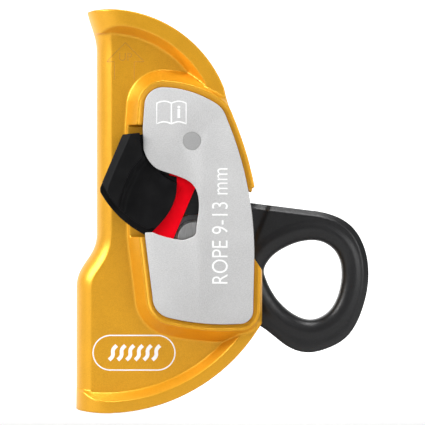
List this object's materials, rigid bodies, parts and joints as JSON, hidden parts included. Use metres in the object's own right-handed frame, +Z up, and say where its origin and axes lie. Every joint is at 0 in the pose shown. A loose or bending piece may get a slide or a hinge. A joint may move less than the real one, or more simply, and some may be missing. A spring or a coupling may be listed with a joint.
{
  "type": "rope clamp",
  "caption": "Openable cam rope clamp: U-shaped channel body, toothless cam on an arm with an attachment eye, and thumb catches that lock its axle in a curved release slot.",
  "frame": {"origin": "on the rope groove's axis, level with the catch pivots", "axes": "+Z up the rope, +X from the rope to the attachment eye, -Y out of the front cover plate"},
  "size_m": [0.1017, 0.038, 0.1397],
  "materials": {
    "anodised_body": "satin gold anodised, bead blasted",
    "anodised_arm": "satin black anodised forging",
    "plate_metal": "fine matt, bead blasted",
    "steel": "brushed",
    "dark_steel": "blackened",
    "bronze": "plain turned",
    "nylon": "matt moulded",
    "red_nylon": "smooth"
  },
  "bodies": {
    "frame": {"channel_body": "anodised_body", "cam_stop_pin": "steel", "front_cover_plate": "plate_metal", "front_pivot_rivet": "steel", "front_catch_bush": "steel", "front_catch_spring": "steel", "rear_cover_plate": "plate_metal", "rear_pivot_rivet": "steel", "rear_catch_bush": "steel", "rear_catch_spring": "steel"},
    "front_catch": {"front_catch_lever": "steel", "front_thumb_pad": "nylon", "front_red_indicator": "red_nylon"},
    "rear_catch": {"rear_catch_lever": "steel", "rear_thumb_pad": "nylon", "rear_red_indicator": "red_nylon"},
    "carrier": {"front_axle_washer": "dark_steel", "rear_axle_washer": "dark_steel"},
    "axle": {"cam_axle": "steel", "front_thrust_washer": "bronze", "rear_thrust_washer": "bronze"},
    "cam": {"cam_arm": "anodised_arm", "cam_bush": "bronze", "cam_spring": "steel"}
  },
  "joints": [
    {"name": "front_catch_turn", "type": "hinge", "parent": "frame", "child": "front_catch", "pos_m": [0.0231, -0.0134, 0], "axis": [0, 1, 0], "range_deg": [-21.5, 0]},
    {"name": "rear_catch_turn", "type": "hinge", "parent": "frame", "child": "rear_catch", "pos_m": [0.0231, 0.0134, 0], "axis": [0, 1, 0], "range_deg": [-21.5, 0]},
    {"name": "axle_release", "type": "hinge", "parent": "frame", "child": "carrier", "pos_m": [0.03607, 0, -0.0335], "axis": [0, 1, 0], "range_deg": [0, 150]},
    {"name": "axle_level", "type": "hinge", "parent": "carrier", "child": "axle", "pos_m": [0.02367, 0, -0.0335], "axis": [0, 1, 0], "range_deg": [-150, 0]},
    {"name": "cam_turn", "type": "hinge", "parent": "axle", "child": "cam", "pos_m": [0.02367, 0, -0.0335], "axis": [0, 1, 0], "range_deg": [-50, 0], "stiffness_Nm_per_rad": 0.03, "springref_deg": 34.38}
  ],
  "couplings": [
    {"joint": "axle_level", "follows": "axle_release", "ratio": -1}
  ]
}
